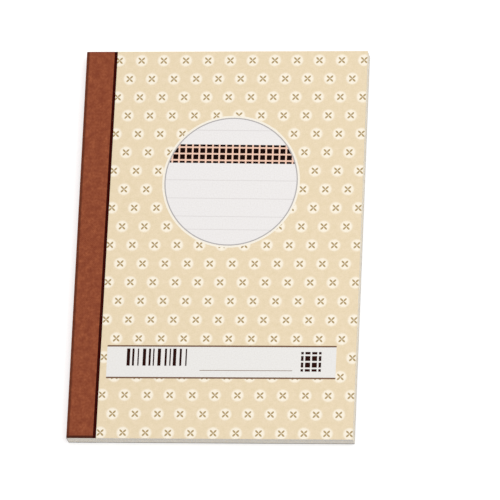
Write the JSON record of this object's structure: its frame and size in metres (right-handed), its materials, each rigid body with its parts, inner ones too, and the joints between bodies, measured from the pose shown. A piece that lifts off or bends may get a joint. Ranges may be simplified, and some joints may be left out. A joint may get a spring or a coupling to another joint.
{
  "type": "carbonless duplicate book",
  "caption": "Closed A5 carbonless duplicate book: printed card cover, brown cloth tape over a stapled spine, paper sets on a grey board; cover and leaves turn at a crease.",
  "frame": {"origin": "centre of the closed book's footprint, on the underside of the back board", "axes": "+X from the spine to the fore edge, +Y to the head, +Z out of the front cover"},
  "size_m": [0.148, 0.21, 0.0086],
  "materials": {
    "cover_card": "satin",
    "grey_board": "matte",
    "book_cloth": "matte",
    "white_paper": "matte",
    "tinted_paper": "matte",
    "sheet_edges": "matte",
    "shield_card": "matte",
    "staple_wire": "satin"
  },
  "bodies": {
    "binding": {"back_board": "grey_board", "bound_sheet_stubs": "sheet_edges", "front_cover_bound_strip": "cover_card", "spine_tape": "book_cloth", "staple_1": "staple_wire", "staple_2": "staple_wire"},
    "front_cover": {"front_cover": "cover_card"},
    "top_copy_01": {"top_copy_01": "white_paper"},
    "duplicate_01": {"duplicate_01": "tinted_paper"},
    "top_copy_02": {"top_copy_02": "white_paper"},
    "duplicate_02": {"duplicate_02": "tinted_paper"},
    "top_copy_03": {"top_copy_03": "white_paper"},
    "duplicate_03": {"duplicate_03": "tinted_paper"},
    "top_copy_04": {"top_copy_04": "white_paper"},
    "duplicate_04": {"duplicate_04": "tinted_paper"},
    "top_copy_05": {"top_copy_05": "white_paper"},
    "duplicate_05": {"duplicate_05": "tinted_paper"},
    "top_copy_06": {"top_copy_06": "white_paper"},
    "duplicate_06": {"duplicate_06": "tinted_paper"},
    "top_copy_07": {"top_copy_07": "white_paper"},
    "duplicate_07": {"duplicate_07": "tinted_paper"},
    "top_copy_08": {"top_copy_08": "white_paper"},
    "duplicate_08": {"duplicate_08": "tinted_paper"},
    "top_copy_09": {"top_copy_09": "white_paper"},
    "duplicate_09": {"duplicate_09": "tinted_paper"},
    "duplicate_10": {"duplicate_10": "tinted_paper"},
    "sets_11_to_15": {"sets_11_to_15": "sheet_edges"},
    "sets_16_to_20": {"sets_16_to_20": "sheet_edges"},
    "sets_21_to_25": {"sets_21_to_25": "sheet_edges"},
    "sets_26_to_30": {"sets_26_to_30": "sheet_edges"},
    "sets_31_to_35": {"sets_31_to_35": "sheet_edges"},
    "sets_36_to_40": {"sets_36_to_40": "sheet_edges"},
    "sets_41_to_45": {"sets_41_to_45": "sheet_edges"},
    "sets_46_to_50": {"sets_46_to_50": "sheet_edges"},
    "top_copy_10": {"top_copy_10": "white_paper"},
    "writing_shield": {"writing_shield": "shield_card"}
  },
  "joints": [
    {"name": "front_cover_hinge", "type": "hinge", "parent": "binding", "child": "front_cover", "pos_m": [-0.059, 0, 0.00864], "axis": [0, -1, 0], "range_deg": [0, 179]},
    {"name": "top_copy_01_turn", "type": "hinge", "parent": "binding", "child": "top_copy_01", "pos_m": [-0.059, 0, 0.00864], "axis": [0, -1, 0], "range_deg": [0, 178.2]},
    {"name": "duplicate_01_turn", "type": "hinge", "parent": "binding", "child": "duplicate_01", "pos_m": [-0.059, 0, 0.00864], "axis": [0, -1, 0], "range_deg": [0, 177.4]},
    {"name": "top_copy_02_turn", "type": "hinge", "parent": "binding", "child": "top_copy_02", "pos_m": [-0.059, 0, 0.00864], "axis": [0, -1, 0], "range_deg": [0, 176.6]},
    {"name": "duplicate_02_turn", "type": "hinge", "parent": "binding", "child": "duplicate_02", "pos_m": [-0.059, 0, 0.00864], "axis": [0, -1, 0], "range_deg": [0, 175.8]},
    {"name": "top_copy_03_turn", "type": "hinge", "parent": "binding", "child": "top_copy_03", "pos_m": [-0.059, 0, 0.00864], "axis": [0, -1, 0], "range_deg": [0, 175]},
    {"name": "duplicate_03_turn", "type": "hinge", "parent": "binding", "child": "duplicate_03", "pos_m": [-0.059, 0, 0.00864], "axis": [0, -1, 0], "range_deg": [0, 174.2]},
    {"name": "top_copy_04_turn", "type": "hinge", "parent": "binding", "child": "top_copy_04", "pos_m": [-0.059, 0, 0.00864], "axis": [0, -1, 0], "range_deg": [0, 173.4]},
    {"name": "duplicate_04_turn", "type": "hinge", "parent": "binding", "child": "duplicate_04", "pos_m": [-0.059, 0, 0.00864], "axis": [0, -1, 0], "range_deg": [0, 172.6]},
    {"name": "top_copy_05_turn", "type": "hinge", "parent": "binding", "child": "top_copy_05", "pos_m": [-0.059, 0, 0.00864], "axis": [0, -1, 0], "range_deg": [0, 171.8]},
    {"name": "duplicate_05_turn", "type": "hinge", "parent": "binding", "child": "duplicate_05", "pos_m": [-0.059, 0, 0.00864], "axis": [0, -1, 0], "range_deg": [0, 171]},
    {"name": "top_copy_06_turn", "type": "hinge", "parent": "binding", "child": "top_copy_06", "pos_m": [-0.059, 0, 0.00864], "axis": [0, -1, 0], "range_deg": [0, 170.2]},
    {"name": "duplicate_06_turn", "type": "hinge", "parent": "binding", "child": "duplicate_06", "pos_m": [-0.059, 0, 0.00864], "axis": [0, -1, 0], "range_deg": [0, 169.4]},
    {"name": "top_copy_07_turn", "type": "hinge", "parent": "binding", "child": "top_copy_07", "pos_m": [-0.059, 0, 0.00864], "axis": [0, -1, 0], "range_deg": [0, 168.6]},
    {"name": "duplicate_07_turn", "type": "hinge", "parent": "binding", "child": "duplicate_07", "pos_m": [-0.059, 0, 0.00864], "axis": [0, -1, 0], "range_deg": [0, 167.8]},
    {"name": "top_copy_08_turn", "type": "hinge", "parent": "binding", "child": "top_copy_08", "pos_m": [-0.059, 0, 0.00864], "axis": [0, -1, 0], "range_deg": [0, 167]},
    {"name": "duplicate_08_turn", "type": "hinge", "parent": "binding", "child": "duplicate_08", "pos_m": [-0.059, 0, 0.00864], "axis": [0, -1, 0], "range_deg": [0, 166.2]},
    {"name": "top_copy_09_turn", "type": "hinge", "parent": "binding", "child": "top_copy_09", "pos_m": [-0.059, 0, 0.00864], "axis": [0, -1, 0], "range_deg": [0, 165.4]},
    {"name": "duplicate_09_turn", "type": "hinge", "parent": "binding", "child": "duplicate_09", "pos_m": [-0.059, 0, 0.00864], "axis": [0, -1, 0], "range_deg": [0, 164.6]},
    {"name": "sets_46_to_50_turn", "type": "hinge", "parent": "binding", "child": "sets_46_to_50", "pos_m": [-0.059, 0, 0.00864], "axis": [0, -1, 0], "range_deg": [0, 0.4]},
    {"name": "sets_41_to_45_turn", "type": "hinge", "parent": "binding", "child": "sets_41_to_45", "pos_m": [-0.059, 0, 0.00864], "axis": [0, -1, 0], "range_deg": [0, 0.8]},
    {"name": "sets_36_to_40_turn", "type": "hinge", "parent": "binding", "child": "sets_36_to_40", "pos_m": [-0.059, 0, 0.00864], "axis": [0, -1, 0], "range_deg": [0, 1.2]},
    {"name": "sets_31_to_35_turn", "type": "hinge", "parent": "binding", "child": "sets_31_to_35", "pos_m": [-0.059, 0, 0.00864], "axis": [0, -1, 0], "range_deg": [0, 1.6]},
    {"name": "sets_26_to_30_turn", "type": "hinge", "parent": "binding", "child": "sets_26_to_30", "pos_m": [-0.059, 0, 0.00864], "axis": [0, -1, 0], "range_deg": [0, 2]},
    {"name": "sets_21_to_25_turn", "type": "hinge", "parent": "binding", "child": "sets_21_to_25", "pos_m": [-0.059, 0, 0.00864], "axis": [0, -1, 0], "range_deg": [0, 2.4]},
    {"name": "sets_16_to_20_turn", "type": "hinge", "parent": "binding", "child": "sets_16_to_20", "pos_m": [-0.059, 0, 0.00864], "axis": [0, -1, 0], "range_deg": [0, 2.8]},
    {"name": "sets_11_to_15_turn", "type": "hinge", "parent": "binding", "child": "sets_11_to_15", "pos_m": [-0.059, 0, 0.00864], "axis": [0, -1, 0], "range_deg": [0, 3.2]},
    {"name": "duplicate_10_turn", "type": "hinge", "parent": "binding", "child": "duplicate_10", "pos_m": [-0.059, 0, 0.00864], "axis": [0, -1, 0], "range_deg": [0, 3.6]},
    {"name": "top_copy_10_tear_off", "type": "slide", "parent": "duplicate_10", "child": "top_copy_10", "axis": [1, 0, 0], "range_m": [0, 0.15]},
    {"name": "writing_shield_slide", "type": "slide", "parent": "sets_11_to_15", "child": "writing_shield", "axis": [1, 0, 0], "range_m": [0, 0.15]}
  ],
  "couplings": [
    {"joint": "top_copy_01_turn", "follows": "front_cover_hinge", "ratio": 0.99553},
    {"joint": "duplicate_01_turn", "follows": "front_cover_hinge", "ratio": 0.99106},
    {"joint": "top_copy_02_turn", "follows": "front_cover_hinge", "ratio": 0.98659},
    {"joint": "duplicate_02_turn", "follows": "front_cover_hinge", "ratio": 0.98212},
    {"joint": "top_copy_03_turn", "follows": "front_cover_hinge", "ratio": 0.97765},
    {"joint": "duplicate_03_turn", "follows": "front_cover_hinge", "ratio": 0.97318},
    {"joint": "top_copy_04_turn", "follows": "front_cover_hinge", "ratio": 0.96871},
    {"joint": "duplicate_04_turn", "follows": "front_cover_hinge", "ratio": 0.96425},
    {"joint": "top_copy_05_turn", "follows": "front_cover_hinge", "ratio": 0.95978},
    {"joint": "duplicate_05_turn", "follows": "front_cover_hinge", "ratio": 0.95531},
    {"joint": "top_copy_06_turn", "follows": "front_cover_hinge", "ratio": 0.95084},
    {"joint": "duplicate_06_turn", "follows": "front_cover_hinge", "ratio": 0.94637},
    {"joint": "top_copy_07_turn", "follows": "front_cover_hinge", "ratio": 0.9419},
    {"joint": "duplicate_07_turn", "follows": "front_cover_hinge", "ratio": 0.93743},
    {"joint": "top_copy_08_turn", "follows": "front_cover_hinge", "ratio": 0.93296},
    {"joint": "duplicate_08_turn", "follows": "front_cover_hinge", "ratio": 0.92849},
    {"joint": "top_copy_09_turn", "follows": "front_cover_hinge", "ratio": 0.92402},
    {"joint": "duplicate_09_turn", "follows": "front_cover_hinge", "ratio": 0.91955},
    {"joint": "sets_46_to_50_turn", "follows": "front_cover_hinge", "ratio": 0.002234},
    {"joint": "sets_41_to_45_turn", "follows": "front_cover_hinge", "ratio": 0.004469},
    {"joint": "sets_36_to_40_turn", "follows": "front_cover_hinge", "ratio": 0.006703},
    {"joint": "sets_31_to_35_turn", "follows": "front_cover_hinge", "ratio": 0.008938},
    {"joint": "sets_26_to_30_turn", "follows": "front_cover_hinge", "ratio": 0.011173},
    {"joint": "sets_21_to_25_turn", "follows": "front_cover_hinge", "ratio": 0.013407},
    {"joint": "sets_16_to_20_turn", "follows": "front_cover_hinge", "ratio": 0.015642},
    {"joint": "sets_11_to_15_turn", "follows": "front_cover_hinge", "ratio": 0.017877},
    {"joint": "duplicate_10_turn", "follows": "front_cover_hinge", "ratio": 0.020111}
  ]
}
